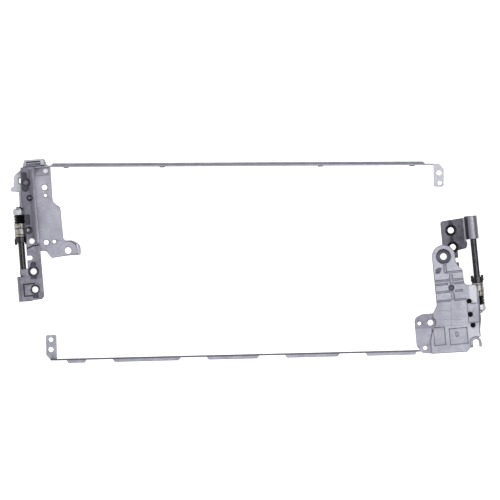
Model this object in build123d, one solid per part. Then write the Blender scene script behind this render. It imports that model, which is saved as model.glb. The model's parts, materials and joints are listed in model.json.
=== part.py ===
from build123d import *
import math
import os

# A left and a right laptop hinge, closed, side by side on a table.
# Lengths are millimetres and angles are degrees.
# Each hinge is drawn in a frame of its own. x runs from the shaft out over the leaves, y along the
# shaft towards the lock nut, z from the screen leaf to the base leaf. The shaft's axis is x = z = 0,
# and y = 0 is the face of the stop collar. The right hinge is drawn the same way and then mirrored.

# Layout of the pair
axis_span = 250.8
axis_stagger = 25.0
left_lean = 4.5
right_lean = 5.6

# Sheet and casting thicknesses
base_t = 1.4
screen_t = 1.5
rail_t = 0.9
holder_t = 1.0
coin_depth = 0.4
round_sides = 12

# Clearances
running_gap = 0.05
face_gap = 0.03
leaf_gap = 0.3
stack_gap = 0.35

# Shaft and what is threaded on it
shaft_d = 3.5
thread_d = 3.0
key_flat = 1.35
thread_end = 0.7
shaft_set_back = 0.3
collar_d = 6.4
collar_w = 3.2
lug_reach = 3.5
lug_h = 2.4
lug_drop = 0.9
stack_d = 6.3
washer_w = 1.4
knuckle_w = 3.3
cam_w = 2.8
cam_slot = 0.9
cam_slot_depth = 0.8
spring_pairs = 3
spring_h = 1.54
spring_cone = 0.6
spring_sides = 12
nut_af = 5.5
nut_h = 3.8
nut_crown = 0.9

# Places along the shaft
knuckle_y = washer_w + face_gap
cam_y = knuckle_y + knuckle_w + face_gap
spring_y = cam_y + cam_w
nut_y = spring_y + spring_pairs * spring_h
shaft_end = nut_y + nut_h + thread_end

# Levels across the leaves
shaft_r = shaft_d / 2
barrel_r = shaft_r + base_t
screen_in = -(max(collar_d, stack_d) / 2 + leaf_gap)
screen_out = screen_in - screen_t
stack_edge = math.sqrt((stack_d / 2 + stack_gap) ** 2 - shaft_r ** 2)

# Base brackets
barrel_seam = 0.6
curl_reach = 3.7
curl_round = 2.2
roll_lead = 2.2
roll_flat = 3.8
left_barrel = (-35.5, -21.6)
left_joggle = 0.0
right_barrel = (-36.9, -24.1)
right_joggle = 0.6
left_arm_end = 38.0
right_arm_end = 28.0
left_base_x = 10.5
left_base_taper = 0.6
lip_w = 2.4
lip_drop = 0.7
lip_end = -4.0
right_base_x = 17.1
neck_x = 9.0
neck_end = 1.4
base_hole_r = 1.65
left_base_holes = ((5.7, -19.4), (5.8, -29.3))
right_base_holes = ((11.7, -30.0), (11.5, -20.7))
access_hole = (6.1, -2.7)
access_hole_r = 1.5
base_slot_x = 4.5
base_slot_y = -11.8
base_slot_w = 2.5
base_notch_x = (8.0, 11.4)
base_notch_y = (-14.6, -12.2)
screw_groove_w = 1.2
screw_groove_y = (-36.0, -17.0)

# Coined marks on the base leaves
boss_r = 2.5
screw_ring_r = 2.9
screw_lobe_up = 3.8
screw_lobe_r = 1.5
screw_key_w = 2.9
screw_keys = (3.8, 4.6)
window_w = 6.3
window_h = 6.9
line_w = 0.4
upper_ring = (5.2, 29.5)
upper_ring_in_r = 1.5
upper_lobe = (4.7, 26.5)
upper_lobe_r = 1.9
upper_notch_x = (3.3, 5.8)
upper_notch_end = 35.0
small_ring = (6.7, 20.9)
small_ring_r = 1.65
small_ring_in_r = 0.95
spring_relief_x = 6.0
spring_relief_y = (6.4, 11.8)
spring_ring = (4.9, 3.4)
spring_ring_r = 1.9
spring_hole_r = 1.2

# Screen brackets
left_leaf_end = 42.0
right_leaf_end = 37.2
lobe_hole = (25.2, -9.4)
lobe_hole_r = 1.8
lobe_step_r = 5.2
lobe_step = 0.4
left_cast_holes = ((15.0, 26.2, 1.5), (15.1, 21.8, 0.9), (13.6, -4.0, 1.4), (18.0, -3.9, 1.0))
left_pockets = (((10.0, 17.0), (2.0, 17.0)), ((10.0, 17.0), (29.0, 36.0)), ((18.5, 21.5), (-1.0, 12.0)))
slot_block_x = (4.9, 15.9)
slot_block_h = 2.0
block_slot_x = (6.1, 13.6)
block_slots = ((0.5, 1.0), (1.9, 0.6))
boss_hole = (17.4, -16.1)
boss_hole_r = 1.75
boss_sink_r = 3.9
boss_out_r = 6.4
sink_depth = 0.8
groove_w = 0.6
groove_depth = 0.35
edge_slope = 1.0
pocket_depth = 0.5
ear_hole = (2.6, 30.8)
ear_hole_r = 1.5
fork_at = (4.3, 32.5)
fork_in_r = 1.75
fork_out_r = 3.2
fork_tail = 2.6
spine_grooves = (((16.6, 17.8), (-11.8, -7.2)), ((13.7, 15.1), (-5.6, -1.0)), ((13.8, 15.0), (3.6, 7.8)))
cross_grooves = ((-7.2, (8.6, 16.6)), (-2.9, (8.4, 13.2)), (-2.9, (15.6, 23.3)), (-0.9, (8.2, 12.6)),
                 (-0.9, (16.6, 23.3)), (3.3, (9.0, 12.8)), (3.3, (16.0, 23.3)), (8.2, (7.4, 13.4)),
                 (8.2, (16.0, 23.3)))
dot_at = (14.8, 1.4)
dot_r = 1.45
mark_at = (21.0, -8.7)
mark_turn = 40
mark_l = 3.8
mark_w = 1.8
right_pockets = (((20.8, 26.8), (22.4, 32.0)), ((8.6, 18.2), (23.8, 32.4)))
pocket_lug = ((13.5, 14.9), (25.8, 28.2))
shaft_panel = ((1.4, 7.0), (11.2, 21.2))

# Knuckle holder and its rivets
holder_x = (3.7, 8.2)
holder_end = 26.0
rivet_places = ((5.8, 9.7), (5.9, 16.9), (5.0, 22.9))
rivet_r = 1.2
rivet_head_r = 1.9
rivet_head_h = 0.6

# Rails
rail_toe = 4.2
rail_h = 4.5
left_rail_root = (19.0, 37.5)
left_flange_w = 2.2
left_rail_length = 206.0
left_tab_start = 210.6
left_tab_w = 5.6
left_tab_reach = 12.4
left_tab_holes = ((3.0, 7.7, 1.45), (3.4, 2.2, 1.15))
left_bumps = (8.8, 61.6, 148.5, 199.0)
bump_l = 2.8
bump_h = 0.5
bump_up = 2.0
left_foot_x = (10.4, 18.2)
left_foot_y = 32.8
rail_lap = 0.4
right_rail_root = (36.5, 34.0)
right_rail_lap = 2.4
right_flange_w = 2.5
right_flanges = ((0.5, 28.7), (42.9, 72.7), (87.0, 115.7), (130.0, 167.2), (181.6, 192.6))
right_tab_start = 197.9
right_tab_w = 5.9
right_tab_reach = 13.6
right_tab_holes = ((3.1, 2.6, 1.25), (3.2, 8.0, 1.4))
tab_corner = 0.6
flange_slant = 1.0
tab_chamfer = 2.6
foot_rivet_left = (16.2, 35.2)
foot_rivet_right = (24.6, 26.5)
foot_rivet_r = 0.9
foot_rivet_head_r = 1.4
foot_rivet_head_h = 0.7
foot_rivet_bite = 0.7
ear_holes = ((28.0, 19.3, 1.55), (34.1, 19.2, 1.0), (32.2, 32.8, 1.1))
ear_relief_r = 3.0


def outline(corners):
    """Closed face through corners given as x, y and corner radius."""
    points = [(x, y) for x, y, _ in corners]
    radii = [radius for _, _, radius in corners]
    return make_face(FilletPolyline(*points, radius=radii, close=True))


def slab(face, low, high):
    """A flat face of the leaf, made solid between two levels."""
    return extrude(Pos(0, 0, low) * face, amount=high - low, dir=(0, 0, 1))


def disc(x, y, radius, low, high):
    """An upright round boss or hole."""
    return slab(Pos(x, y) * Circle(radius), low, high)


def small_round(x, y, radius, low, high):
    """A rivet, a coined mark or a plain hole, with flat sides because there are so many of them."""
    return slab(Pos(x, y) * RegularPolygon(radius, round_sides), low, high)


def block(x_range, y_range, low, high):
    """An upright box between two x, two y and two z."""
    corners = [(x, y, 0) for x, y in ((x_range[0], y_range[0]), (x_range[1], y_range[0]),
                                      (x_range[1], y_range[1]), (x_range[0], y_range[1]))]
    return slab(outline(corners), low, high)


def along_shaft(corners, low, high):
    """A section of x, z corners, made solid along the shaft between two y."""
    face = outline([(x, -z, radius) for x, z, radius in corners])
    section = Plane(origin=(0, low, 0), x_dir=(1, 0, 0), z_dir=(0, 1, 0)) * face
    return extrude(section, amount=high - low, dir=(0, 1, 0))


def turned(corners):
    """A piece turned about the shaft from radius, y corners."""
    return revolve(outline([(r, y, 0) for r, y in corners]), Axis.Y)


def ring(radius_in, radius_out, low, high):
    """A plain ring on the shaft."""
    return turned([(radius_in, low), (radius_out, low), (radius_out, high), (radius_in, high)])


def plug(radius, low, high):
    """A solid cylinder about the shaft's axis."""
    return turned([(0, low), (radius, low), (radius, high), (0, high)])


# Pieces on the shaft


def shaft(foot):
    """Pin that is fixed in the barrel, with key flats for the cam disc and a threaded end."""
    body = turned([(0, foot), (shaft_r, foot), (shaft_r, spring_y), (thread_d / 2, spring_y),
                   (thread_d / 2, shaft_end), (0, shaft_end)])
    for low, high in ((key_flat, shaft_r), (-shaft_r, -key_flat)):
        body -= block((-shaft_r, shaft_r), (cam_y, spring_y), low, high)
    return body


def stop_collar():
    """Ring behind the stack with a lug on each side."""
    collar = ring(shaft_r, collar_d / 2, -collar_w, 0)
    for side in (-1, 1):
        ends = sorted((side * collar_d / 3, side * lug_reach))
        collar += block(ends, (-collar_w - lug_drop, -lug_drop), -lug_h / 2, lug_h / 2)
    return collar - plug(shaft_r, -collar_w - lug_drop, 0)


def friction_washer():
    """Flat washer between the collar and the knuckle."""
    return ring(shaft_r + running_gap, stack_d / 2, 0, washer_w)


def key_hole(low, high):
    """The double flat hole of a keyed piece."""
    radius = shaft_r + running_gap
    flat = key_flat + running_gap
    hole = plug(radius, low, high)
    for z_low, z_high in ((flat, radius), (-radius, -flat)):
        hole -= block((-radius, radius), (low, high), z_low, z_high)
    return hole


def cam_disc():
    """Keyed disc that presses on the knuckle, with a slot across its rim."""
    body = plug(stack_d / 2, cam_y, cam_y + cam_w)
    reach = stack_d / 2
    for side in (-1, 1):
        z_range = sorted((side * reach, side * (reach - cam_slot_depth)))
        body -= block((-cam_slot / 2, cam_slot / 2), (cam_y, cam_y + cam_w), *z_range)
    return body - key_hole(cam_y, cam_y + cam_w)


def disc_springs():
    """Cone washers in pairs, rim to rim, pressed together, with flat sides because they repeat."""
    pairs = []
    for pair in range(spring_pairs):
        section = Plane(origin=(0, spring_y + pair * spring_h, 0), x_dir=(1, 0, 0), z_dir=(0, 1, 0))
        body = extrude(section * RegularPolygon(stack_d / 2, spring_sides), amount=spring_h, dir=(0, 1, 0))
        edges = body.edges().group_by(Axis.Y)
        pairs.append(chamfer(edges[0] + edges[-1], spring_cone))
    return pairs[0].fuse(*pairs[1:]) - plug(thread_d / 2 + running_gap, spring_y, nut_y)


def lock_nut():
    """Hexagon nut with a crowned outer end."""
    section = Plane(origin=(0, nut_y, 0), x_dir=(1, 0, 0), z_dir=(0, 1, 0))
    hexagon = extrude(section * RegularPolygon(nut_af / math.sqrt(3), 6), amount=nut_h, dir=(0, 1, 0))
    crowned = chamfer(hexagon.edges().group_by(Axis.Y)[-1], nut_crown)
    return crowned - plug(thread_d / 2, nut_y, nut_y + nut_h)


def knuckle():
    """Eye round the shaft and a leaf that lies on the screen bracket."""
    eye_r = stack_d / 2
    eye = plug(eye_r, knuckle_y, knuckle_y + knuckle_w)
    top = screen_in + holder_t
    arm = along_shaft([(0, top + holder_t, 0), (holder_x[0], top + holder_t, 0), (holder_x[1], top, 0),
                       (holder_x[1], screen_in, 0), (eye_r / 2, screen_in, 0), (0, -eye_r / 2, 0)],
                      knuckle_y, knuckle_y + knuckle_w)
    leaf = block(holder_x, (knuckle_y, holder_end), screen_in, top)
    bore = plug(shaft_r + running_gap, knuckle_y, knuckle_y + knuckle_w)
    body = eye + arm + leaf - bore
    for x, y in rivet_places:
        body -= small_round(x, y, rivet_r, screen_in, top)
    return body


def knuckle_rivets():
    """Three rivets through the screen bracket and the knuckle's leaf."""
    top = screen_in + holder_t
    rivets = []
    for x, y in rivet_places:
        shank = small_round(x, y, rivet_r, screen_out, top)
        head = small_round(x, y, rivet_head_r, top, top + rivet_head_h)
        rivets.append((shank + head).solid())
    return Compound(children=rivets)


# Base brackets


def barrel(span, joggle, reach):
    """Leaf edge rolled round the shaft, with the short joggled lead that joins it to the flat."""
    low, high = span
    roll = ring(shaft_r, barrel_r, low, high)
    if reach > barrel_r:
        roll += along_shaft([(0, -barrel_r, 0), (-reach, -barrel_r, curl_round),
                             (-reach, barrel_r, curl_round), (0, barrel_r, 0)], low, high)
    roll -= block((0, barrel_r), span, shaft_r - barrel_seam, shaft_r)
    lead = along_shaft([(0, shaft_r, 0), (roll_lead, shaft_r, 0), (roll_flat, shaft_r + joggle, 0),
                        (roll_flat, barrel_r + joggle, 0), (roll_lead, barrel_r, 0), (0, barrel_r, 0)],
                       low, high)
    return roll + lead - plug(shaft_r, low, high)


def left_base_bracket():
    """Long leaf with coined marks on its outer face and the barrel at one end."""
    low = shaft_r + left_joggle
    top = barrel_r + left_joggle
    edge = stack_edge
    nut_end = nut_y + nut_h
    arm_x = left_base_x - left_base_taper
    leaf = slab(outline([
        (2.9, left_arm_end, 0), (arm_x, left_arm_end, 0), (left_base_x, -34.7, 2.2), (0, left_barrel[0], 0),
        (0, left_barrel[1], 0), (-1.9, left_barrel[1] + 1.0, 0), (-1.9, -17.8, 0), (2.7, -17.4, 0),
        (edge - 0.2, -3.6, 0), (edge, -3.0, 0), (edge, nut_end + 0.6, 0), (1.9, nut_end + 1.5, 0)]), low, top)
    # The arm's outer edge is pressed down to a sloping lip
    lip_angle = math.degrees(math.atan2(left_base_taper, left_arm_end - left_barrel[0]))
    lip_place = Pos(arm_x - lip_w, left_arm_end, 0) * Rot(0, 0, lip_angle)
    lip_run = lip_end - left_arm_end
    flat = [(0, low, 0), (2 * lip_w, low, 0), (2 * lip_w, top, 0), (0, top, 0)]
    pressed = [(0, low, 0), (lip_w, low - lip_drop, 0), (lip_w, top - lip_drop, 0), (0, top, 0)]
    leaf -= lip_place * along_shaft(flat, lip_run, 0)
    leaf += lip_place * along_shaft(pressed, lip_run, 0)
    leaf += barrel(left_barrel, left_joggle, curl_reach)
    # Open slot, access hole and screw holes
    half_slot = base_slot_w / 2
    leaf -= block((0, base_slot_x), (base_slot_y - half_slot, base_slot_y + half_slot), low, top)
    leaf -= small_round(base_slot_x, base_slot_y, half_slot, low, top)
    leaf -= small_round(*access_hole, access_hole_r, low, top)
    leaf -= small_round(*spring_ring, spring_hole_r, low, top)
    leaf -= left_coined_marks(top - coin_depth, top)
    for x, y in left_base_holes:
        leaf -= disc(x, y, base_hole_r, low, top)
    return leaf


def left_coined_marks(floor, top):
    """Rings, lobes and notches that a die sank in the outer face of the left base leaf."""
    half_key = screw_key_w / 2
    half_window = window_h / 2
    (first_x, first_y), (second_x, second_y) = left_base_holes
    # Upper ring with a square notch above it and a lobe below
    marks = small_round(*upper_ring, boss_r, floor, top) + small_round(*upper_lobe, upper_lobe_r, floor, top)
    marks += block(upper_notch_x, (upper_ring[1], upper_notch_end), floor, top)
    marks -= small_round(*upper_ring, upper_ring_in_r, floor, top)
    # Small ring, relief beside the springs and the ring below it
    marks += (small_round(*small_ring, small_ring_r, floor, top)
              - small_round(*small_ring, small_ring_in_r, floor, top))
    marks += block((stack_edge, spring_relief_x), spring_relief_y, floor, top)
    marks += small_round(*spring_ring, spring_ring_r, floor, top)
    # Rings round the screw holes, each with a key slot, the first with a lobe
    marks += small_round(first_x, first_y, screw_ring_r, floor, top)
    marks += small_round(first_x, first_y + screw_lobe_up, screw_lobe_r, floor, top)
    marks += small_round(second_x, second_y, boss_r, floor, top)
    for (x, y), reach in zip(left_base_holes, screw_keys):
        marks += block((x - half_key, x + half_key), (y - reach, y), floor, top)
    # Square line beside the second hole
    window_x = second_x - window_w
    marks += (block((window_x, second_x), (second_y - half_window, second_y + half_window), floor, top)
              - block((window_x + line_w, second_x),
                      (second_y - half_window + line_w, second_y + half_window - line_w), floor, top))
    # Bent line across the neck
    marks += slab(outline([(3.1, -6.9, 0), (6.4, -5.6, 0), (10.0, -5.4, 0), (10.0, -4.9, 0), (6.5, -5.1, 0),
                           (3.1, -6.3, 0)]), floor, top)
    return marks


def right_base_bracket():
    """Wide leaf with two ringed holes at the barrel and a narrower arm under the screen leaf."""
    low = shaft_r + right_joggle
    top = barrel_r + right_joggle
    edge = stack_edge
    # The neck runs clear of the screen boss's hole
    clear_x = boss_hole[0] - boss_hole_r - stack_gap
    clear_y = boss_hole[1] - boss_hole_r - stack_gap
    leaf = slab(outline([
        (roll_flat, right_barrel[0] + 0.7, 0), (right_base_x, -35.4, 1.6), (right_base_x, clear_y - 2.0, 0),
        (clear_x, clear_y, 0), (clear_x, 2.0, 0), (left_base_x, 8.0, 0), (left_base_x, right_arm_end, 0),
        (edge, right_arm_end, 0), (edge, neck_end, 0), (neck_x, neck_end, 0), (neck_x, -18.6, 0),
        (4.2, -19.4, 0), (3.3, -21.6, 0), (roll_flat, right_barrel[1], 0)]), low, top)
    leaf += barrel(right_barrel, right_joggle, barrel_r)
    leaf -= block(base_notch_x, base_notch_y, low, top)
    groove_x = (right_base_holes[0][0] + right_base_holes[1][0]) / 2
    leaf -= block((groove_x - screw_groove_w / 2, groove_x + screw_groove_w / 2), screw_groove_y,
                  low, low + groove_depth)
    for x, y in right_base_holes:
        leaf -= small_round(x, y, screw_ring_r, low, low + coin_depth)
        leaf -= disc(x, y, base_hole_r, low, top)
    return leaf


# Screen brackets


def rivet_holes():
    """Holes for the knuckle rivets, through a screen bracket."""
    holes = [small_round(x, y, rivet_r, screen_out, screen_in) for x, y in rivet_places]
    return Compound(children=[hole.solid() for hole in holes])


def left_screen_bracket():
    """Cast leaf with a lobe at one end, an ear beyond the nut and a slotted block at the rail."""
    leaf = slab(outline([
        (3.4, 36.8, 0), (4.8, left_leaf_end, 0), (16.0, left_leaf_end, 0), (17.2, 38.6, 0), (19.1, 37.1, 0),
        (18.9, 18.0, 3.0), (22.8, 14.6, 2.4), (23.2, -3.8, 1.8), (27.6, -3.8, 3.4), (32.3, -6.4, 4.2),
        (32.0, -12.2, 0), (24.3, -12.2, 0), (15.9, -12.8, 0), (13.2, -8.6, 2.0), (4.6, -8.4, 0),
        (4.4, 0.8, 0), (1.2, 1.0, 0), (0.2, 12.0, 0), (0.8, 24.8, 0), (-3.6, 25.4, 0),
        (-3.6, 27.6, 0), (-2.0, 27.9, 0), (-1.4, 34.0, 4.2), (2.4, 36.6, 0)]), screen_out, screen_in)
    # Slotted block behind the rail's root
    block_y = left_rail_root[1] + rail_t / 2 + stack_gap
    block_top = screen_in + slot_block_h
    leaf += block(slot_block_x, (block_y, left_leaf_end), screen_in, block_top)
    for up, width in block_slots:
        leaf -= block(block_slot_x, (block_y + up, block_y + up + width), screen_in, block_top)
    # Lobe: a round seat about the hole, with the rim beyond it stepped down
    lobe_x, lobe_y = lobe_hole
    reach = 2 * lobe_step_r
    rim = block((lobe_x, lobe_x + reach), (lobe_y - reach, lobe_y + reach), screen_in - lobe_step, screen_in)
    leaf -= rim - disc(lobe_x, lobe_y, lobe_step_r, screen_in - lobe_step, screen_in)
    leaf -= disc(lobe_x, lobe_y, lobe_hole_r, screen_out, screen_in)
    leaf -= disc(lobe_x, lobe_y, boss_sink_r, screen_out, screen_out + sink_depth)
    # Plain holes
    for x, y, radius in left_cast_holes:
        leaf -= small_round(x, y, radius, screen_out, screen_in)
    leaf -= small_round(*ear_hole, ear_hole_r, screen_out, screen_in)
    leaf -= small_round(*access_hole, access_hole_r + leaf_gap, screen_out, screen_in)
    # Cast pockets on the outer side, between the bosses
    for x_range, y_range in left_pockets:
        leaf -= block(x_range, y_range, screen_out, screen_out + pocket_depth)
    leaf -= small_round(*foot_rivet_left, foot_rivet_r, screen_in - foot_rivet_bite, screen_in)
    return leaf - rivet_holes()


def right_screen_bracket():
    """Cast leaf with a round boss at one end, ribs and pockets on its outer face and a fork."""
    boss_x, boss_y = boss_hole
    ear_x, ear_y, _ = ear_holes[0]
    leaf = slab(outline([
        (23.8, boss_y, 0), (23.8, 10.5, 3.0), (26.2, 14.2, 0), (27.0, 22.0, 0), (29.0, 29.0, 0),
        (29.2, right_leaf_end - 0.8, 0), (9.4, right_leaf_end, 0), (7.4, right_leaf_end - 2.4, 0),
        (fork_at[0], 30.0, 0), (1.2, 29.6, 0), (1.3, 26.0, 0), (0.2, 20.0, 0), (0.0, 9.0, 0), (1.2, 0.8, 0),
        (7.4, 0.6, 2.0), (7.7, -8.3, 0), (9.4, -9.4, 0), (11.0, -12.6, 0),
        (boss_x - boss_out_r, boss_y, 0)]), screen_out, screen_in)
    # The outer face slopes down beside the shaft
    leaf -= along_shaft([(edge_slope, screen_out, 0), (0, screen_out + edge_slope, 0),
                         (-edge_slope, screen_out + edge_slope, 0), (-edge_slope, screen_out, 0)],
                        knuckle_y, holder_end)
    leaf += disc(boss_x, boss_y, boss_out_r, screen_out, screen_in)
    # Open fork for a screw, lower than the leaf's face
    fork_x, fork_y = fork_at
    fork_low = screen_out + pocket_depth
    fork_end = fork_y + fork_out_r
    leaf += small_round(fork_x, fork_y, fork_out_r, fork_low, screen_in)
    leaf += block((fork_x - fork_out_r, fork_x + fork_out_r), (fork_y, fork_y + fork_tail),
                  fork_low, screen_in)
    leaf -= small_round(fork_x, fork_y, fork_out_r, screen_out, fork_low)
    leaf -= small_round(fork_x, fork_y, fork_in_r, screen_out, screen_in)
    leaf -= block((fork_x - fork_in_r, fork_x + fork_in_r), (fork_y, fork_end), screen_out, screen_in)
    # Boss with a sunk seat
    leaf -= disc(boss_x, boss_y, boss_sink_r, screen_out, screen_out + sink_depth)
    leaf -= disc(boss_x, boss_y, boss_hole_r, screen_out, screen_in)
    leaf -= small_round(ear_x, ear_y, ear_relief_r, screen_out, screen_in)
    leaf -= cast_relief()
    leaf -= small_round(*foot_rivet_right, foot_rivet_r, screen_in - foot_rivet_bite, screen_in)
    return leaf - rivet_holes()


def cast_relief():
    """Ribs, pockets and marks that are sunk in the outer face of the right screen bracket."""
    low = screen_out
    shallow = low + groove_depth
    deep = low + pocket_depth
    relief = [block(x_range, y_range, low, shallow) for x_range, y_range in spine_grooves]
    for y, x_range in cross_grooves:
        relief.append(block(x_range, (y - groove_w / 2, y + groove_w / 2), low, shallow))
    # Blind screw dot and slanted cast mark
    relief.append(small_round(*dot_at, dot_r, low, low + 2 * pocket_depth))
    tip = mark_l / 2
    side = (mark_l - mark_w) / 2
    half_w = mark_w / 2
    mark = outline([(-tip, 0, 0), (-side, -half_w, 0), (side, -half_w, 0), (tip, 0, 0), (side, half_w, 0),
                    (-side, half_w, 0)])
    relief.append(slab(Pos(*mark_at) * Rot(0, 0, mark_turn) * mark, low, deep))
    # Pockets at the rail end, one with a small lug left standing, and a shallow panel beside the shaft
    lug = block(*pocket_lug, low, deep)
    relief += [block(x_range, y_range, low, deep) - lug for x_range, y_range in right_pockets]
    relief.append(block(*shaft_panel, low, low + groove_depth / 2))
    return Compound(children=[cut.solid() for cut in relief])


# Rails


def on_rail(root, shape):
    """Turns a shape drawn along the rail into its place on the hinge."""
    return Pos(root[0], root[1], 0) * Rot(0, 0, -rail_toe) * shape


def rail_strip(start, tab_start, tab_w, flanges, flange_w, tab_reach, tab_holes):
    """Strip on edge with flanges on its outer side and a holed tab at the far end."""
    outer = flange_w - rail_t / 2
    low = screen_out
    high = screen_out + rail_h
    tab_end = tab_start + tab_w
    strip = block((start, tab_end - tab_chamfer), (-rail_t / 2, rail_t / 2), low, high)
    for first, last in flanges:
        strip += slab(outline([(first, -rail_t / 2, 0), (last, -rail_t / 2, 0), (last, rail_t / 2, 0),
                               (last - flange_slant, outer, 0), (first + flange_slant, outer, 0),
                               (first, rail_t / 2, 0)]), low, low + rail_t)
    leaf = slab(outline([(tab_start, rail_t / 2, 0), (tab_end - tab_chamfer, rail_t / 2, 0),
                         (tab_end, -tab_chamfer, 0), (tab_end, tab_corner - tab_reach, 0),
                         (tab_end - tab_corner, -tab_reach, 0), (tab_start + tab_corner, -tab_reach, 0),
                         (tab_start, tab_corner - tab_reach, 0)]), high - rail_t, high)
    strip += leaf
    for along, from_end, radius in tab_holes:
        strip -= small_round(tab_start + along, from_end - tab_reach, radius, high - rail_t, high)
    return strip


def left_rail():
    """Rail with one long flange, small bumps on its inner side and a riveted foot."""
    strip = rail_strip(-rail_lap, left_tab_start, left_tab_w, ((rail_lap, left_rail_length),), left_flange_w,
                       left_tab_reach, left_tab_holes)
    strip -= block((-rail_lap, rail_lap), (-rail_t, rail_t), screen_out, screen_in)
    for along in left_bumps:
        strip += block((along - bump_l / 2, along + bump_l / 2), (-rail_t / 2 - bump_h, 0), screen_out,
                       screen_out + bump_up)
    root_x, root_y = left_rail_root
    foot = block(left_foot_x, (left_foot_y, root_y), screen_in, screen_in + rail_t)
    foot += block((left_foot_x[0], root_x), (root_y - rail_t / 2, root_y + rail_t / 2), screen_in,
                  screen_out + rail_h)
    foot -= small_round(*foot_rivet_left, foot_rivet_r, screen_in, screen_in + rail_t)
    return on_rail(left_rail_root, strip) + foot


def right_rail():
    """Rail with flange pieces and an ear that lies under the cast leaf."""
    strip = rail_strip(-right_rail_lap, right_tab_start, right_tab_w, right_flanges, right_flange_w,
                       right_tab_reach, right_tab_holes)
    strip = on_rail(right_rail_root, strip)
    root_x, root_y = right_rail_root
    strip -= block((root_x - 2 * right_rail_lap, root_x - leaf_gap), (root_y - rail_h, root_y + rail_h),
                   screen_out, screen_in)
    ear = slab(outline([
        (22.6, 14.4, 0), (32.2, 14.2, 3.0), (36.7, 16.0, 3.4), (36.8, 31.4, 3.0), (34.0, 35.4, 0),
        (29.6, 36.2, 0), (22.6, 36.0, 0)]), screen_in, screen_in + rail_t)
    strip += ear
    for x, y, radius in ear_holes:
        strip -= small_round(x, y, radius, screen_in, screen_in + rail_t)
    strip -= small_round(*foot_rivet_right, foot_rivet_r, screen_in, screen_in + rail_t)
    return strip


def foot_rivet(x, y):
    """Bright rivet through the rail's foot into the casting."""
    seat = screen_in + rail_t
    shank = small_round(x, y, foot_rivet_r, screen_in - foot_rivet_bite, seat)
    return shank + small_round(x, y, foot_rivet_head_r, seat, seat + foot_rivet_head_h)


# The pair


def place_left(shape):
    """Puts a left piece where it lies: screen leaf on the table."""
    return Pos(-axis_span / 2, axis_stagger / 2, -screen_out) * Rot(0, 0, left_lean) * shape


def place_right(shape):
    """Puts a right piece where it lies: mirrored, base leaf on the table."""
    flipped = mirror(shape, about=Plane.XY)
    place = Pos(axis_span / 2, -axis_stagger / 2, barrel_r + right_joggle)
    return place * Rot(0, 0, 180 + right_lean) * flipped


def hinge_pieces(base, screen, rail, rivet, barrel_foot):
    """The twelve pieces of one hinge, by name."""
    return {
        "base_bracket": base,
        "shaft": shaft(barrel_foot + shaft_set_back),
        "stop_collar": stop_collar(),
        "friction_washer": friction_washer(),
        "knuckle": knuckle(),
        "cam_disc": cam_disc(),
        "disc_springs": disc_springs(),
        "lock_nut": lock_nut(),
        "knuckle_rivets": knuckle_rivets(),
        "screen_bracket": screen,
        "rail": rail,
        "rail_rivet": rivet,
    }


left_pieces = hinge_pieces(left_base_bracket(), left_screen_bracket(), left_rail(),
                           foot_rivet(*foot_rivet_left), left_barrel[0])
right_pieces = hinge_pieces(right_base_bracket(), right_screen_bracket(), right_rail(),
                            foot_rivet(*foot_rivet_right), right_barrel[0])
pair = {"left_" + name: place_left(shape) for name, shape in left_pieces.items()}
pair.update({"right_" + name: place_right(shape) for name, shape in right_pieces.items()})

# The origin is the middle of the pair's footprint, on the table
boxes = [shape.bounding_box() for shape in pair.values()]
middle_x = (min(box.min.X for box in boxes) + max(box.max.X for box in boxes)) / 2
middle_y = (min(box.min.Y for box in boxes) + max(box.max.Y for box in boxes)) / 2
centre = Pos(-middle_x, -middle_y, -min(box.min.Z for box in boxes))

os.makedirs("parts", exist_ok=True)
for name, shape in pair.items():
    export_step(centre * shape, "parts/" + name + ".step")
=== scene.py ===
import json
import math
import bmesh
import bpy
from mathutils import Matrix, Vector
from mathutils.bvhtree import BVHTree


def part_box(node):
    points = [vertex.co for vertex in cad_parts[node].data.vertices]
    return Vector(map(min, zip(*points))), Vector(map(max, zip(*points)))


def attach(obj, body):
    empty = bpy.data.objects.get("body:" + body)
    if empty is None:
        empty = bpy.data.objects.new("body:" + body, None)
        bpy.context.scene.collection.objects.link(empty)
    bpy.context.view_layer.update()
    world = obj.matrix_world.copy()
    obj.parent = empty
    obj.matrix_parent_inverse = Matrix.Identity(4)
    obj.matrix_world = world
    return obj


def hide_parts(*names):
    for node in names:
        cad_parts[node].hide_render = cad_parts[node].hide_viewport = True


# A pair of laptop hinges on a light table, seen from straight above.
# The solids come from the frame. Here they get round holes, rounded edges, threads, finishes and light.
# A place on a hinge is given in millimetres in the hinge's own frame: x from the shaft out over the
# leaves, y along the shaft towards the nut, z up from the shaft's axis.

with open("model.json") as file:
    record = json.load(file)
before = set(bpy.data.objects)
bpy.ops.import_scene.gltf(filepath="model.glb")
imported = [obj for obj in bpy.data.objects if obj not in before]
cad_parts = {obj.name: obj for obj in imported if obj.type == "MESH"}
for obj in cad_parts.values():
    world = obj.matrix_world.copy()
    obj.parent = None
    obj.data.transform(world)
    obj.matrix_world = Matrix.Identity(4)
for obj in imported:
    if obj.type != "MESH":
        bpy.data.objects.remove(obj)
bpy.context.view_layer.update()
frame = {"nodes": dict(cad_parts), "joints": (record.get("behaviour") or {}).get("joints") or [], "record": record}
mm = 0.001

# Thread, springs and rivets
thread_r = 1.5
thread_pitch = 0.5
thread_depth = 0.26
spring_pairs = 3
spring_cone = 0.6
rivet_r = 1.2
rivet_head_r = 1.9
rivet_head_h = 0.6
round_sides = 48
rivet_places = ((5.8, 9.7), (5.9, 16.9), (5.0, 22.9))

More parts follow.
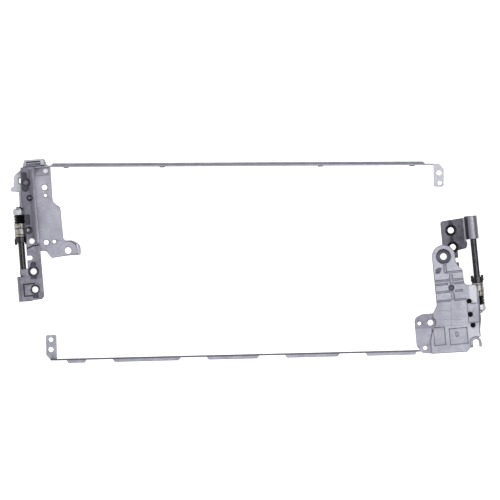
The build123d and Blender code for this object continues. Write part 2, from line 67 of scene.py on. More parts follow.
# Plain holes as x, y and radius, which the solids have with few sides
access_hole = (6.1, -2.7)
through_holes = {
    "left_base_bracket": ((*access_hole, 1.5), (4.9, 3.4, 1.2)),
    "left_screen_bracket": ((15.0, 26.2, 1.5), (15.1, 21.8, 0.9), (13.6, -4.0, 1.4), (18.0, -3.9, 1.0),
                            (2.6, 30.8, 1.5), (*access_hole, 1.8)),
    "right_rail": ((28.0, 19.3, 1.55), (34.1, 19.2, 1.0), (32.2, 32.8, 1.1)),
}

# Sunk rounds as x, y, radius and depth, and the upper face of the leaf that lies on the table
right_leaf_t = 1.4
sunk_rounds = {
    "left_base_bracket": ((5.7, -19.4, 2.9, 0.4), (5.8, -29.3, 2.5, 0.4), (4.9, 3.4, 1.9, 0.4)),
    "right_base_bracket": ((11.7, -30.0, 2.9, 0.4), (11.5, -20.7, 2.9, 0.4)),
    "right_screen_bracket": ((14.8, 1.4, 1.45, 1.0),),
}
hole_sides = 64
hole_ease = 0.02
drill_reach = 5.0

# Cleaning and rounding of the solids' copies: angles, merging distance and steps of a rounded edge
sharp_angle = math.radians(40)
crease_angle = math.radians(30)
flat_angle = math.radians(0.6)
merge_gap = 0.002
edge_steps = 2

# Rails: where each leaves its leaf, and its turn in degrees
left_rail_root = (19.0, 37.5)
right_rail_root = (36.5, 34.0)
rail_toe = 4.2

# Lean of the right casting's ribs and outer edge against the shaft, in degrees
rib_lean = 5.57

# Sizes of the patterns in the finishes, in millimetres
oil_patch = 2.0
turning_line = 0.698
grease_patch = 1.25
zinc_cloud = 1.43
# corner_reach: how far the painted shade in inner corners reaches
corner_reach = 0.9
grain_depth = 0.03

# Depth of each sunk floor below a leaf's upper face, and how much painted shade it gets; sloped and rounded edges
# get a little painted shade too
bevel_shade = 0.5
level_slack = 0.02
sunk_floors = {
    "left_base_bracket": ((0.4, 0.75),),
    "right_base_bracket": ((0.4, 0.8), (0.35, 0.4)),
    "right_screen_bracket": ((0.35, 0.25), (0.5, 0.1), (0.8, 0.9), (1.0, 0.95)),
}

# Camera: the image is 500 pixels wide at 0.55 mm a pixel
image_width = 275 * mm
image_centre = (1.0 * mm, 5.9 * mm)
camera_height = 2.5
camera_reach = 10.0
sensor_width = 36.0

# Light table, and soft boxes as place, width and length in metres and power in watts
table_half = 3.0
table_gap = 0.05
table_glow = 0.8
sky_low = 0.1
sky_high = 0.8
sky_way = Vector((-0.35, 0.35, 0.87)).normalized()
lamps = {
    "low_left": ((-1.6, 0.3, 0.55), 1.0, 1.6, 10),
    "strip_top": ((0.65, 0.0, 1.5), 0.06, 2.0, 7),
    "strip_right": ((1.1, 0.0, 1.3), 0.35, 1.6, 3),
}


def hinge_frame(joint):
    """Matrix from a hinge's own millimetres to the scene's metres."""
    along = -Vector(joint["axis"]).normalized()
    up = Vector((0, 0, 1))
    turn = Matrix((along.cross(up), along, up)).transposed().to_4x4()
    return Matrix.Translation(joint["pos_m"]) @ turn @ Matrix.Scale(mm, 4)


hinges = {joint["name"].split("_")[0]: hinge_frame(joint) for joint in frame["joints"]}
rail_turn = Matrix.Rotation(math.radians(-rail_toe), 4, "Z")
places = {
    "left": hinges["left"],
    "right": hinges["right"],
    "left_rail": hinges["left"] @ Matrix.Translation((*left_rail_root, 0)) @ rail_turn,
    "right_rail": hinges["right"] @ Matrix.Translation((*right_rail_root, 0)) @ rail_turn,
}


def hinge_box(node):
    """Lowest and highest corner of a node in its hinge's frame."""
    back = hinges[node.split("_")[0]].inverted()
    points = [back @ vertex.co for vertex in frame["nodes"][node].data.vertices]
    return (Vector([min(point[i] for point in points) for i in range(3)]),
            Vector([max(point[i] for point in points) for i in range(3)]))


def leaf_top(node):
    """Height of a leaf's upper face in millimetres; the right base leaf lies under its barrel's top."""
    return right_leaf_t if node == "right_base_bracket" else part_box(node)[1].z / mm


def linear(code):
    """sRGB hex to linear RGBA."""
    parts = [int(code[i:i + 2], 16) / 255 for i in (1, 3, 5)]
    return [c / 12.92 if c <= 0.04045 else ((c + 0.055) / 1.055) ** 2.4 for c in parts] + [1.0]


def add(tree, kind, settings=None, links=None):
    """One node with its settings; each link is a value or another node's output."""
    node = tree.nodes.new(kind)
    for key, value in (settings or {}).items():
        setattr(node, key, value)
    for key, value in (links or {}).items():
        if isinstance(value, bpy.types.NodeSocket):
            tree.links.new(value, node.inputs[key])
        else:
            node.inputs[key].default_value = value
    return node


# Materials


def new_material(name, where, metallic, roughness):
    """A metal with its shader and with millimetres on its hinge or rail as coordinates."""
    material = bpy.data.materials.new(name)
    material.use_nodes = True
    tree = material.node_tree
    shader = tree.nodes["Principled BSDF"]
    shader.inputs["Metallic"].default_value = metallic
    shader.inputs["Roughness"].default_value = roughness
    own = add(tree, "ShaderNodeTexCoord").outputs["Object"]
    spot = places[where]
    place = add(tree, "ShaderNodeMapping", {"vector_type": "TEXTURE"},
                {"Vector": own, "Location": spot.translation, "Rotation": spot.to_euler(),
                 "Scale": spot.to_scale()})
    return material, tree, shader, place.outputs["Vector"]


def near_box(tree, place, x, y, half_x, half_y):
    """Distance in millimetres from a tall box, which is an upright line where it has no size."""
    tall = 1000
    away = add(tree, "ShaderNodeVectorMath", {"operation": "SUBTRACT"}, {0: place, 1: (x, y, 0)})
    folded = add(tree, "ShaderNodeVectorMath", {"operation": "ABSOLUTE"}, {0: away.outputs[0]})
    past = add(tree, "ShaderNodeVectorMath", {"operation": "SUBTRACT"},
               {0: folded.outputs[0], 1: (half_x, half_y, tall)})
    outside = add(tree, "ShaderNodeVectorMath", {"operation": "MAXIMUM"}, {0: past.outputs[0], 1: (0, 0, 0)})
    distance = add(tree, "ShaderNodeVectorMath", {"operation": "LENGTH"}, {0: outside.outputs[0]})
    return distance.outputs["Value"]


def paint(tree, place, colour, patches, lines):
    """Softly toned patches and thin lines over a colour.

    A patch has a middle, half sizes, a soft border, a tone and a strength. A line runs round its middle
    and half sizes at a radius, with a width, a tone and a strength.
    """
    for x, y, half_x, half_y, soft, tone, strength in patches:
        distance = near_box(tree, place, x, y, half_x, half_y)
        mask = add(tree, "ShaderNodeMapRange", {"interpolation_type": "SMOOTHSTEP"},
                   {"Value": distance, "From Max": soft, "To Min": strength, "To Max": 0.0})
        colour = add(tree, "ShaderNodeMix", {"data_type": "RGBA"},
                     {"Factor": mask.outputs["Result"], 6: colour, 7: linear(tone)}).outputs[2]
    for x, y, half_x, half_y, radius, width, tone, strength in lines:
        distance = near_box(tree, place, x, y, half_x, half_y)
        off = add(tree, "ShaderNodeMath", {"operation": "SUBTRACT"}, {0: distance, 1: radius})
        off = add(tree, "ShaderNodeMath", {"operation": "ABSOLUTE"}, {0: off.outputs[0]})
        mask = add(tree, "ShaderNodeMapRange", {"interpolation_type": "SMOOTHSTEP"},
                   {"Value": off.outputs[0], "From Max": width, "To Min": strength, "To Max": 0.0})
        colour = add(tree, "ShaderNodeMix", {"data_type": "RGBA"},
                     {"Factor": mask.outputs["Result"], 6: colour, 7: linear(tone)}).outputs[2]
    return colour


def plate_metal(name, where, pale, dark, shade_colour, cloud, grain, rough, corner_shade,
                patches=(), lines=(), leaning=()):
    """Satin metal: cloudy tone and fine grain, with painted shade on sunk floors, on sloped and rounded edges and
    in its inner corners.
    """
    material, tree, shader, place = new_material(name, where, 0.9, rough)
    clouds = add(tree, "ShaderNodeTexNoise", None, {"Vector": place, "Scale": 1 / cloud, "Detail": 4.0})
    grains = add(tree, "ShaderNodeTexNoise", None, {"Vector": place, "Scale": 1 / grain, "Detail": 3.0})
    cloud_share = add(tree, "ShaderNodeMapRange", None,
                      {"Value": clouds.outputs["Fac"], "From Min": 0.34, "From Max": 0.66})
    colour = add(tree, "ShaderNodeMix", {"data_type": "RGBA"},
                 {"Factor": cloud_share.outputs["Result"], 6: linear(dark), 7: linear(pale)}).outputs[2]
    grain_share = add(tree, "ShaderNodeMapRange", None,
                      {"Value": grains.outputs["Fac"], "From Min": 0.4, "From Max": 0.7, "To Max": 0.6})
    colour = add(tree, "ShaderNodeMix", {"data_type": "RGBA"},
                 {"Factor": grain_share.outputs["Result"], 6: colour, 7: linear(dark)}).outputs[2]
    colour = paint(tree, place, colour, patches, lines)
    if leaning:
        leant = add(tree, "ShaderNodeMapping", {"vector_type": "POINT"},
                    {"Vector": place, "Rotation": (0, 0, math.radians(rib_lean))})
        colour = paint(tree, leant.outputs["Vector"], colour, leaning, ())
    # Painted shade on the sunk floors and on the sloped and rounded edges that mark_dark marks
    sunk = add(tree, "ShaderNodeAttribute", {"attribute_name": "dark"})
    colour = add(tree, "ShaderNodeMix", {"data_type": "RGBA"},
                 {"Factor": sunk.outputs["Fac"], 6: colour, 7: linear(shade_colour)}).outputs[2]
    # Painted shade in the inner corners, darker where the piece's own faces close round a point
    corner = add(tree, "ShaderNodeAmbientOcclusion", {"samples": 8, "only_local": True},
                 {"Distance": corner_reach * mm})
    corner_shade_share = add(tree, "ShaderNodeMapRange", None,
                {"Value": corner.outputs["AO"], "From Min": 0.5, "From Max": 0.95,
                 "To Min": corner_shade, "To Max": 0.0})
    colour = add(tree, "ShaderNodeMix", {"data_type": "RGBA"},
                 {"Factor": corner_shade_share.outputs["Result"], 6: colour, 7: linear(shade_colour)}).outputs[2]
    tree.links.new(colour, shader.inputs["Base Color"])
    spread = add(tree, "ShaderNodeMapRange", None,
                 {"Value": grains.outputs["Fac"], "To Min": rough - 0.08, "To Max": rough + 0.12})
    tree.links.new(spread.outputs["Result"], shader.inputs["Roughness"])
    bump = add(tree, "ShaderNodeBump", None,
               {"Height": grains.outputs["Fac"], "Strength": 0.2, "Distance": grain_depth * mm})
    tree.links.new(bump.outputs["Normal"], shader.inputs["Normal"])
    return material


def black_oxide(side):
    """Black oxide on turned steel: near black and oiled, with a clear streak of light along a round."""
    material, tree, shader, place = new_material("black_oxide_steel_" + side, side, 0.9, 0.3)
    oil = add(tree, "ShaderNodeTexNoise", None, {"Vector": place, "Scale": 1 / oil_patch, "Detail": 3.0})
    base = add(tree, "ShaderNodeMix", {"data_type": "RGBA"},
               {"Factor": oil.outputs["Fac"], 6: linear("#212022"), 7: linear("#343336")})
    tree.links.new(base.outputs[2], shader.inputs["Base Color"])
    rough = add(tree, "ShaderNodeMapRange", None,
                {"Value": oil.outputs["Fac"], "To Min": 0.14, "To Max": 0.26})
    tree.links.new(rough.outputs["Result"], shader.inputs["Roughness"])
    return material


def black_phosphate(side):
    """Black phosphate on the rivets: dull and nearly without light."""
    material, tree, shader, place = new_material("black_phosphate_steel_" + side, side, 0.5, 0.6)
    shader.inputs["Base Color"].default_value = linear("#0b0b0d")
    shader.inputs["Specular IOR Level"].default_value = 0.2
    return material


def ground_steel(side):
    """Ground friction rings: warm bare steel with turning lines, patches of dark grease, and painted shade on the
    faces where the rings meet.
    """
    material, tree, shader, place = new_material("ground_steel_" + side, side, 0.95, 0.34)
    lines = add(tree, "ShaderNodeTexWave", {"bands_direction": "Y"},
                {"Vector": place, "Scale": math.pi / 10 / turning_line, "Distortion": 1.5, "Detail": 2.0})
    grease = add(tree, "ShaderNodeTexNoise", None,
                 {"Vector": place, "Scale": 1 / grease_patch, "Detail": 4.0})
    base = add(tree, "ShaderNodeMix", {"data_type": "RGBA"},
               {"Factor": lines.outputs["Fac"], 6: linear("#6c6966"), 7: linear("#a4a19e")})
    spread = add(tree, "ShaderNodeMapRange", None,
                 {"Value": grease.outputs["Fac"], "From Min": 0.5, "From Max": 0.7, "To Max": 0.8})
    colour = add(tree, "ShaderNodeMix", {"data_type": "RGBA"},
                 {"Factor": spread.outputs["Result"], 6: base.outputs[2], 7: linear("#55514d")})
    # Painted shade on the ring faces that meet their neighbours on the shaft
    edges = add(tree, "ShaderNodeAttribute", {"attribute_name": "dark"})
    colour = add(tree, "ShaderNodeMix", {"data_type": "RGBA"},
                 {"Factor": edges.outputs["Fac"], 6: colour.outputs[2], 7: linear("#1f1d1c")})
    tree.links.new(colour.outputs[2], shader.inputs["Base Color"])
    return material


def dull_zinc(side):
    """Zinc plate on the rail rivets, dulled where the punch set them."""
    material, tree, shader, place = new_material("dull_zinc_plate_" + side, side, 1.0, 0.5)
    shader.inputs["Base Color"].default_value = linear("#dcdce2")
    return material


def bright_zinc(side):
    """Bright zinc plate: nearly a mirror, slightly clouded."""
    material, tree, shader, place = new_material("bright_zinc_plate_" + side, side, 1.0, 0.26)
    cloud = add(tree, "ShaderNodeTexNoise", None, {"Vector": place, "Scale": 1 / zinc_cloud, "Detail": 2.0})
    base = add(tree, "ShaderNodeMix", {"data_type": "RGBA"},
               {"Factor": cloud.outputs["Fac"], 6: linear("#6a6a70"), 7: linear("#a6a6ac")})
    tree.links.new(base.outputs[2], shader.inputs["Base Color"])
    return material


def stamped_steel_left():
    """Zinc-nickel plated steel: mid grey, mottled from the bath, with painted shade on its die-coined floors and
    edges and on a slope, and painted highlights on a ridge and on the rolled edge.
    """
    arm = (5.0, 18.0, 3.0, 18.0, 3.0, "#6a6973", 0.65)
    # Painted shade on a slope of the plate
    slope_shade = (7.8, 16.0, 0.7, 20.0, 0.8, "#55545e", 0.8)
    # Painted highlight along a ridge of the plate
    ridge = (10.0, 14.0, 0.1, 24.0, 0.5, "#a6a5b1", 0.6)
    # Painted highlight on the rolled edge over the barrel
    roll_highlight = (-2.9, -28.5, 0.2, 7.5, 0.5, "#a3a2ae", 0.4)
    return plate_metal("plated_steel_left", "left", "#93929d", "#6c6b75", "#2f2e36", 5.0, 0.9, 0.42, 0.7,
                       patches=(arm, slope_shade, ridge, roll_highlight))


def stamped_steel_right():
    """The same plate on the other hinge, paler on its outer third, with a painted reflection on its barrel, a
    painted highlight along the bend beside it and painted shade in the crease between them.
    """
    outer_third = (16.4, -30.0, 1.6, 8.0, 3.0, "#6d6c75", 0.6)
    # Painted reflection lightening the barrel
    barrel = (-0.5, -30.5, 2.4, 8.0, 0.4, "#a8a7b2", 0.8)
    # Painted highlight along the bend beside the barrel
    bend_highlight = (4.2, -31.0, 0.15, 7.5, 0.4, "#a5a4ae", 0.7)
    # Painted shade in the crease where the barrel meets the plate
    crease_shade = (3.0, -31.0, 0.1, 7.5, 0.35, "#45444a", 0.6)
    return plate_metal("plated_steel_right", "right", "#5e5d65", "#434248", "#1d1c21", 4.0, 0.9, 0.42, 0.6,
                       patches=(outer_third, barrel, bend_highlight, crease_shade))


def cast_alloy_left():
    """Die-cast alloy with a satin skin, painted shade round the step of the screw's faced seat and a painted
    highlight on the rim beyond it.
    """
    # Painted shade line round the step of the faced seat
    seat = (25.2, -9.4, 0, 0, 5.1, 0.35, "#7d7c88", 0.5)
    # Painted highlight on the rim beyond the step
    rim = (30.4, -8.8, 0.1, 2.4, 0.55, "#eeeef4", 0.8)
    ear = (-0.6, 29.8, 2.6, 4.0, 1.2, "#d2d2da", 0.7)
    head = (10.0, 41.0, 6.0, 1.8, 0.8, "#cacad3", 0.6)
    return plate_metal("cast_alloy_left", "left", "#b9b8c5", "#a3a2ae", "#5f5e69", 9.0, 0.8, 0.46, 0.6,
                       patches=(rim, ear, head), lines=(seat,))


def cast_alloy_right():
    """The same casting on the other hinge, with painted shade lines along its ribs, grooves, rings and flank,
    painted shade in a small pocket, and a painted sheen on the field by the rivets.
    """
    # Painted sheen on the field by the rivets
    sheen_field = (2.8, 5.4, 1.6, 4.4, 1.8, "#c4c4cc", 0.9)
    corner = (4.6, 26.5, 2.0, 2.0, 3.0, "#c4c4cd", 0.6)
    # Painted shade in a small slanted pocket
    pocket_shade = (21.1, -8.4, 0.6, 0.8, 0.9, "#4e4d57", 0.85)
    # Painted shade along the sloping flank by the shaft
    flank_shade = (-1.1, 17.0, 0.2, 10.6, 0.45, "#4b4a55", 0.7)
    # Painted shade lines along the ribs and grooves
    long_rib = (14.65, 17.9, 0.1, 6.6, 0.35, "#85848f", 0.5)
    short_rib = (18.2, 15.4, 3.3, 0.1, 0.35, "#85848f", 0.5)
    upper_rib = (15.2, 20.1, 6.9, 0.1, 0.35, "#85848f", 0.4)
    lower_rib = (15.2, 23.4, 6.9, 0.1, 0.35, "#85848f", 0.5)
    # Painted shade lines round the boss and the oblong
    dot_ring = (14.8, 1.4, 0, 0, 2.9, 0.3, "#85848f", 0.4)
    oblong = (10.6, 15.3, 1.3, 0, 2.1, 0.3, "#8f8e99", 0.35)
    return plate_metal("cast_alloy_right", "right", "#b4b4c0", "#9a99a5", "#504f59", 8.0, 0.8, 0.46, 0.7,
                       patches=(sheen_field, corner, pocket_shade), lines=(dot_ring, oblong),
                       leaning=(flank_shade, long_rib, short_rib, upper_rib, lower_rib))


def rail_steel_left():
    """Plated strip steel of the rail, brighter on its tab and on its web's edge."""
    tab = (216.0, -7.0, 5.0, 8.0, 2.0, "#b6b6be", 0.8)
    web = (100.0, 0.0, 110.0, 0.3, 0.3, "#a0a0aa", 0.5)
    return plate_metal("plated_rail_steel_left", "left_rail", "#a2a1ac", "#8a8994", "#5a5963",
                       6.0, 0.8, 0.42, 0.6, patches=(web, tab))


def rail_steel_right():
    """The other rail, with painted shade along its web's top edge and along a step across its ear, and a darker
    field above the step.
    """
    # Painted shade along the web's top edge
    web = (105.0, 0.0, 105.0, 0.3, 0.3, "#3a393f", 0.75)
    # Darker field above the step
    dull = (-4.3, -16.7, 8.0, 3.6, 0.8, "#787782", 0.6)
    # Painted shade along the step across the ear
    step = (-2.6, -12.5, 5.0, 0.1, 0.4, "#6a6974", 0.6)
    return plate_metal("plated_rail_steel_right", "right_rail", "#a6a6b2", "#92919d", "#5a5963",
                       6.0, 0.8, 0.42, 0.6, patches=(web, dull, step))


def light_table():
    """White light table under the pair, with no sheen."""
    material = bpy.data.materials.new("white_light_table")
    material.use_nodes = True
    shader = material.node_tree.nodes["Principled BSDF"]
    shader.inputs["Base Color"].default_value = linear("#fafafa")
    shader.inputs["Roughness"].default_value = 0.9
    shader.inputs["Emission Color"].default_value = linear("#ffffff")
    shader.inputs["Emission Strength"].default_value = table_glow
    return material


black = {side: black_oxide(side) for side in hinges}
phosphate = {side: black_phosphate(side) for side in hinges}
friction = {side: ground_steel(side) for side in hinges}
zinc = {side: bright_zinc(side) for side in hinges}

# Material and edge rounding in millimetres of each node
finishes = {
    "left_base_bracket": (stamped_steel_left(), 0.2),
    "right_base_bracket": (stamped_steel_right(), 0.2),
    "left_screen_bracket": (cast_alloy_left(), 0.35),
    "right_screen_bracket": (cast_alloy_right(), 0.35),
    "left_rail": (rail_steel_left(), 0.15),
    "right_rail": (rail_steel_right(), 0.15),
}
for side in hinges:
    finishes[side + "_shaft"] = (black[side], 0.1)
    finishes[side + "_stop_collar"] = (black[side], 0.15)
    finishes[side + "_friction_washer"] = (friction[side], 0.2)
    finishes[side + "_knuckle"] = (friction[side], 0.2)
    finishes[side + "_cam_disc"] = (friction[side], 0.2)
    finishes[side + "_lock_nut"] = (zinc[side], 0.12)
    finishes[side + "_rail_rivet"] = (dull_zinc(side), 0.2)

body_of = {node: body for body, nodes in frame["record"]["behaviour"]["bodies"].items() for node in nodes}


# Finished copies of the solids


def merged_copy(node):
    """A copy of a solid with its facets merged into whole faces."""
    mesh = frame["nodes"][node].data.copy()
    shape = bmesh.new()
    shape.from_mesh(mesh)
    bmesh.ops.remove_doubles(shape, verts=shape.verts, dist=merge_gap * mm)
    bmesh.ops.dissolve_limit(shape, angle_limit=flat_angle, verts=shape.verts, edges=shape.edges)
    shape.to_mesh(mesh)
    shape.free()
    mesh.materials.clear()
    mesh.shade_smooth()
    piece = bpy.data.objects.new(node + "_finished", mesh)
    bpy.context.scene.collection.objects.link(piece)
    return piece


def drill(piece, node):
    """Cuts true rounds where the solid has holes and sunk marks with few sides."""
    hinge = hinges[node.split("_")[0]]
    low, high = hinge_box(node)
    top = leaf_top(node) - hinge.translation.z / mm
    below = low.z - drill_reach
    above = high.z + drill_reach
    cuts = [(x, y, radius, below) for x, y, radius in through_holes.get(node, ())]
    cuts += [(x, y, radius, top - depth) for x, y, radius, depth in sunk_rounds.get(node, ())]
    if node.endswith("screen_bracket"):
        cuts += [(x, y, rivet_r, below) for x, y in rivet_places]
    if not cuts:
        return
    shape = bmesh.new()
    for x, y, radius, bottom in cuts:
        middle = Matrix.Translation((x, y, (bottom + above) / 2))
        bmesh.ops.create_cone(shape, cap_ends=True, segments=hole_sides, radius1=radius + hole_ease,
                              radius2=radius + hole_ease, depth=above - bottom, matrix=hinge @ middle)
    mesh = bpy.data.meshes.new("drill")
    shape.to_mesh(mesh)
    shape.free()
    cutter = bpy.data.objects.new("drill", mesh)
    bpy.context.scene.collection.objects.link(cutter)
    cut = piece.modifiers.new("drill", "BOOLEAN")
    cut.operation = "DIFFERENCE"
    cut.solver = "EXACT"
    cut.use_self = True
    cut.object = cutter
    bake(piece)
    bpy.data.objects.remove(cutter)


def round_edges(piece, edge):
    """Rounds the sharp outer edges and keeps the flat faces flat; inner corners stay sharp."""
    shape = bmesh.new()
    shape.from_mesh(piece.data)
    bmesh.ops.dissolve_limit(shape, angle_limit=flat_angle, verts=shape.verts, edges=shape.edges)
    bmesh.ops.triangulate(shape, faces=shape.faces, ngon_method="BEAUTY")
    weight = shape.edges.layers.float.new("bevel_weight_edge")
    for line in shape.edges:
        line[weight] = float(line.is_manifold and line.calc_face_angle_signed() > sharp_angle)
    before = BVHTree.FromBMesh(shape)
    shape.to_mesh(piece.data)
    shape.free()
    bevel = piece.modifiers.new("edge", "BEVEL")
    bevel.width = edge * mm
    bevel.segments = edge_steps
    bevel.limit_method = "WEIGHT"
    bevel.use_clamp_overlap = False
    bevel.loop_slide = False
    bevel.face_strength_mode = "FSTR_ALL"
    bake(piece)
    turn_back(piece, before)
    piece.data.shade_smooth()
    flat = piece.modifiers.new("flat", "WEIGHTED_NORMAL")
    flat.use_face_influence = True
    bake(piece)


def turn_back(piece, before):
    """Turns thin faces the right way up again where the rounding folded them over."""
    shape = bmesh.new()
    shape.from_mesh(piece.data)
    folded = [face for face in shape.faces
              if before.find_nearest(face.calc_center_median())[1].dot(face.normal) < -0.5]
    bmesh.ops.reverse_faces(shape, faces=folded)
    shape.to_mesh(piece.data)
    shape.free()


def bake(piece):
    """Turns a piece's modifiers into its mesh."""
    graph = bpy.context.evaluated_depsgraph_get()
    baked = bpy.data.meshes.new_from_object(piece.evaluated_get(graph))
    piece.modifiers.clear()
    piece.data = baked


def mark_dark(piece, node):
    """Marks the sunk floors, the sloped and rounded edges and, on rings, the faces where they meet, so that the
    finish paints shade on them.
    """
    top = leaf_top(node)
    along = hinges[node.split("_")[0]].to_3x3().normalized() @ Vector((0, 1, 0))
    ring = node.endswith(("washer", "knuckle", "disc"))
    mark = piece.data.attributes.new("dark", "FLOAT", "FACE")
    for face in piece.data.polygons:
        depth = top - face.center.z / mm
        share = [dark for level, dark in sunk_floors.get(node, ()) if abs(depth - level) < level_slack]
        # On a ring, the faces towards its neighbours on the shaft get painted shade
        if ring:
            mark.data[face.index].value = float(abs(face.normal.dot(along)) > 0.2)
        elif face.normal.z > 0.99 and share:
            mark.data[face.index].value = share[0]
        elif 0.1 < face.normal.z < 0.95:
            mark.data[face.index].value = bevel_shade


pieces = {}
for node, (material, edge) in finishes.items():
    piece = merged_copy(node)
    drill(piece, node)
    round_edges(piece, edge)
    piece.data.materials.append(material)
    mark_dark(piece, node)
    pieces[node] = piece


# Threads, springs and rivets


def new_tree(name, floats, points):
    """An empty node tree with named number inputs and a material."""
    tree = bpy.data.node_groups.new(name, "GeometryNodeTree")
    if points:
        tree.interface.new_socket("Points", in_out="INPUT", socket_type="NodeSocketGeometry")
    for socket in floats:
        tree.interface.new_socket(socket, in_out="INPUT", socket_type="NodeSocketFloat")
    tree.interface.new_socket("Metal", in_out="INPUT", socket_type="NodeSocketMaterial")
    tree.interface.new_socket("Geometry", in_out="OUTPUT", socket_type="NodeSocketGeometry")
    return tree, add(tree, "NodeGroupInput").outputs


def end_tree(tree, geometry, metal):
    """Real geometry with its metal, as the tree's result."""
    real = add(tree, "GeometryNodeRealizeInstances", None, {"Geometry": geometry})
    shown = add(tree, "GeometryNodeSetMaterial", None, {"Geometry": real.outputs[0], "Material": metal})
    add(tree, "NodeGroupOutput", None, {"Geometry": shown.outputs[0]})


def lifted(tree, geometry, height):
    """Geometry moved up by a height."""
    shift = add(tree, "ShaderNodeCombineXYZ", None, {"Z": height})
    return add(tree, "GeometryNodeTransform", None,
               {"Geometry": geometry, "Translation": shift.outputs[0]}).outputs[0]


def thread_tree():
    """A screw thread: a ridge along a helix on a round core."""
    tree, given = new_tree("thread", ("Radius", "Pitch", "Depth", "Length"), False)
    core_r = add(tree, "ShaderNodeMath", {"operation": "SUBTRACT"}, {0: given["Radius"], 1: given["Depth"]})
    turns = add(tree, "ShaderNodeMath", {"operation": "DIVIDE"}, {0: given["Length"], 1: given["Pitch"]})
    rise = add(tree, "ShaderNodeMath", {"operation": "SUBTRACT"}, {0: given["Length"], 1: given["Depth"]})
    half = add(tree, "ShaderNodeMath", {"operation": "MULTIPLY"}, {0: given["Length"], 1: 0.5})
    foot = add(tree, "ShaderNodeMath", {"operation": "MULTIPLY"}, {0: given["Depth"], 1: 0.5})
    ridge_r = add(tree, "ShaderNodeMath", {"operation": "ADD"}, {0: core_r.outputs[0], 1: foot.outputs[0]})
    helix = add(tree, "GeometryNodeCurveSpiral", None,
                {"Resolution": round_sides, "Rotations": turns.outputs[0],
                 "Start Radius": ridge_r.outputs[0], "End Radius": ridge_r.outputs[0],
                 "Height": rise.outputs[0]})
    section = add(tree, "GeometryNodeCurvePrimitiveCircle", None,
                  {"Resolution": 4, "Radius": foot.outputs[0]})
    ridge = add(tree, "GeometryNodeCurveToMesh", None,
                {"Curve": helix.outputs[0], "Profile Curve": section.outputs[0], "Fill Caps": True})
    core = add(tree, "GeometryNodeMeshCylinder", None,
               {"Vertices": round_sides, "Radius": core_r.outputs[0], "Depth": given["Length"]})
    whole = add(tree, "GeometryNodeJoinGeometry")
    tree.links.new(lifted(tree, ridge.outputs[0], foot.outputs[0]), whole.inputs[0])
    tree.links.new(lifted(tree, core.outputs[0], half.outputs[0]), whole.inputs[0])
    end_tree(tree, whole.outputs[0], given["Metal"])
    return tree


def springs_tree():
    """Cone washers in pairs, rim to rim, one pair at each point of a line."""
    tree, given = new_tree("springs", ("Height", "Rim", "Root", "Pairs"), False)
    half = add(tree, "ShaderNodeMath", {"operation": "MULTIPLY"}, {0: given["Height"], 1: 0.5})
    lower = add(tree, "GeometryNodeMeshCone", None,
                {"Vertices": hole_sides, "Radius Bottom": given["Root"], "Radius Top": given["Rim"],
                 "Depth": half.outputs[0]})
    upper = add(tree, "GeometryNodeMeshCone", None,
                {"Vertices": hole_sides, "Radius Bottom": given["Rim"], "Radius Top": given["Root"],
                 "Depth": half.outputs[0]})
    pair = add(tree, "GeometryNodeJoinGeometry")
    tree.links.new(lower.outputs[0], pair.inputs[0])
    tree.links.new(lifted(tree, upper.outputs[0], half.outputs[0]), pair.inputs[0])
    step = add(tree, "ShaderNodeCombineXYZ", None, {"Z": given["Height"]})
    line = add(tree, "GeometryNodeMeshLine", None, {"Count": given["Pairs"], "Offset": step.outputs[0]})
    stack = add(tree, "GeometryNodeInstanceOnPoints", None,
                {"Points": line.outputs[0], "Instance": pair.outputs[0]})
    end_tree(tree, stack.outputs[0], given["Metal"])
    return tree


def rivets_tree():
    """A rivet at each point: a round shank with a head at its inner end."""
    tree, given = new_tree("rivets", ("Radius", "Length", "Head Radius", "Head Height", "Head Middle"), True)
    shank = add(tree, "GeometryNodeMeshCylinder", None,
                {"Vertices": round_sides, "Radius": given["Radius"], "Depth": given["Length"]})
    head = add(tree, "GeometryNodeMeshCylinder", None,
               {"Vertices": round_sides, "Radius": given["Head Radius"], "Depth": given["Head Height"]})
    rivet = add(tree, "GeometryNodeJoinGeometry")
    tree.links.new(shank.outputs[0], rivet.inputs[0])
    tree.links.new(lifted(tree, head.outputs[0], given["Head Middle"]), rivet.inputs[0])
    row = add(tree, "GeometryNodeInstanceOnPoints", None,
              {"Points": given["Points"], "Instance": rivet.outputs[0]})
    end_tree(tree, row.outputs[0], given["Metal"])
    return tree


def grow(name, tree, values, place, points=()):
    """Runs a node tree with named inputs and bakes the result to a mesh at its place."""
    mesh = bpy.data.meshes.new(name)
    mesh.from_pydata(points, [], [])
    piece = bpy.data.objects.new(name, mesh)
    bpy.context.scene.collection.objects.link(piece)
    growth = piece.modifiers.new("grow", "NODES")
    growth.node_group = tree
    for item in tree.interface.items_tree:
        if item.name in values:
            growth[item.identifier] = values[item.name]
    bake(piece)
    piece.data.transform(place)
    piece.data.shade_smooth()
    piece.data.set_sharp_from_angle(angle=crease_angle)
    return piece


def cut_tip(piece, hinge, end):
    """Takes the plain tip off a shaft, where the thread goes."""
    shape = bmesh.new()
    shape.from_mesh(piece.data)
    along = hinge.to_3x3() @ Vector((0, 1, 0))
    everything = shape.verts[:] + shape.edges[:] + shape.faces[:]
    bmesh.ops.bisect_plane(shape, geom=everything, plane_co=hinge @ Vector((0, end, 0)),
                           plane_no=along.normalized(), clear_outer=True)
    bmesh.ops.holes_fill(shape, edges=[edge for edge in shape.edges if edge.is_boundary])
    shape.to_mesh(piece.data)
    shape.free()


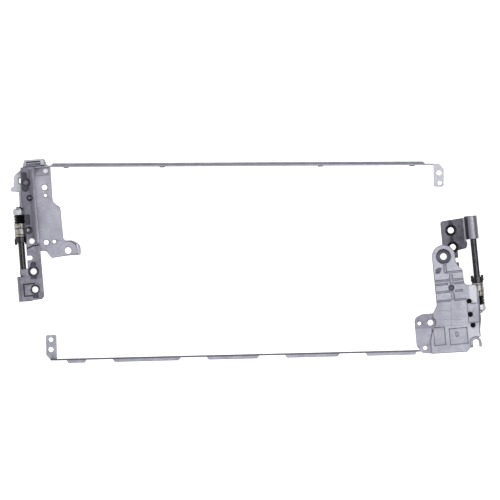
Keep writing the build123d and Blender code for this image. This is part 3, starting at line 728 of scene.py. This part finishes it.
threads = thread_tree()
springs = springs_tree()
rivets = rivets_tree()
along_y = Matrix.Rotation(math.radians(-90), 4, "X")
extras = {}
for side, hinge in hinges.items():
    nut_end = hinge_box(side + "_lock_nut")[1].y
    tip = hinge_box(side + "_shaft")[1].y
    spring_low, spring_high = hinge_box(side + "_disc_springs")
    rivet_low, rivet_high = hinge_box(side + "_knuckle_rivets")
    rim = (spring_high.x - spring_low.x) / 2
    cut_tip(pieces[side + "_shaft"], hinge, nut_end)
    extras[side + "_shaft"] = grow(
        side + "_thread", threads,
        {"Radius": thread_r, "Pitch": thread_pitch, "Depth": thread_depth, "Length": tip - nut_end,
         "Metal": zinc[side]},
        hinge @ Matrix.Translation((0, nut_end, 0)) @ along_y)
    pieces[side + "_disc_springs"] = grow(
        side + "_disc_springs_finished", springs,
        {"Height": (spring_high.y - spring_low.y) / spring_pairs, "Rim": rim, "Root": rim - spring_cone,
         "Pairs": spring_pairs, "Metal": black[side]},
        hinge @ Matrix.Translation((0, spring_low.y, 0)) @ along_y)
    head_way = 1 if side == "left" else -1
    length = rivet_high.z - rivet_low.z
    middle = (rivet_high.z + rivet_low.z) / 2
    pieces[side + "_knuckle_rivets"] = grow(
        side + "_knuckle_rivets_finished", rivets,
        {"Radius": rivet_r, "Length": length, "Head Radius": rivet_head_r, "Head Height": rivet_head_h,
         "Head Middle": head_way * (length - rivet_head_h) / 2, "Metal": phosphate[side]},
        hinge, [(x, y, middle) for x, y in rivet_places])

for node, piece in pieces.items():
    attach(piece, body_of[node])
    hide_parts(node)
for node, piece in extras.items():
    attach(piece, body_of[node])

# Table, light and camera


def lay_table():
    """A wide light table just under the pair."""
    mesh = bpy.data.meshes.new("light_table")
    corners = [(x * table_half, y * table_half, 0) for x, y in ((-1, -1), (1, -1), (1, 1), (-1, 1))]
    mesh.from_pydata(corners, [], [(0, 1, 2, 3)])
    table = bpy.data.objects.new("light_table", mesh)
    table.location.z = -table_gap * mm
    mesh.materials.append(light_table())
    bpy.context.scene.collection.objects.link(table)


def sky():
    """A white studio tent, brightest overhead to the upper left and greyer towards the lower right."""
    world = bpy.data.worlds.new("studio")
    world.use_nodes = True
    tree = world.node_tree
    shader = tree.nodes["Background"]
    way = add(tree, "ShaderNodeTexCoord").outputs["Generated"]
    facing = add(tree, "ShaderNodeVectorMath", {"operation": "DOT_PRODUCT"},
                 {0: way, 1: sky_way})
    shade = add(tree, "ShaderNodeMapRange", None,
                {"Value": facing.outputs["Value"], "To Min": sky_low, "To Max": sky_high})
    tree.links.new(shade.outputs["Result"], shader.inputs["Color"])
    bpy.context.scene.world = world


def lamp(name, place, width, length, power):
    """A soft box that faces the pair, long along Y."""
    light = bpy.data.lights.new(name, "AREA")
    light.shape = "RECTANGLE"
    light.size = width
    light.size_y = length
    light.energy = power
    thing = bpy.data.objects.new(name, light)
    thing.location = place
    thing.rotation_euler = (-Vector(place)).to_track_quat("-Z", "Y").to_euler()
    bpy.context.scene.collection.objects.link(thing)


lay_table()
sky()
for name, (spot, width, length, power) in lamps.items():
    lamp(name, spot, width, length, power)

camera = bpy.data.cameras.new("camera")
camera.sensor_width = sensor_width
camera.lens = sensor_width * camera_height / image_width
camera.clip_end = camera_reach
camera_thing = bpy.data.objects.new("camera", camera)
camera_thing.location = (image_centre[0], image_centre[1], camera_height)
bpy.context.scene.collection.objects.link(camera_thing)
bpy.context.scene.camera = camera_thing
bpy.context.scene.view_settings.view_transform = "Standard"
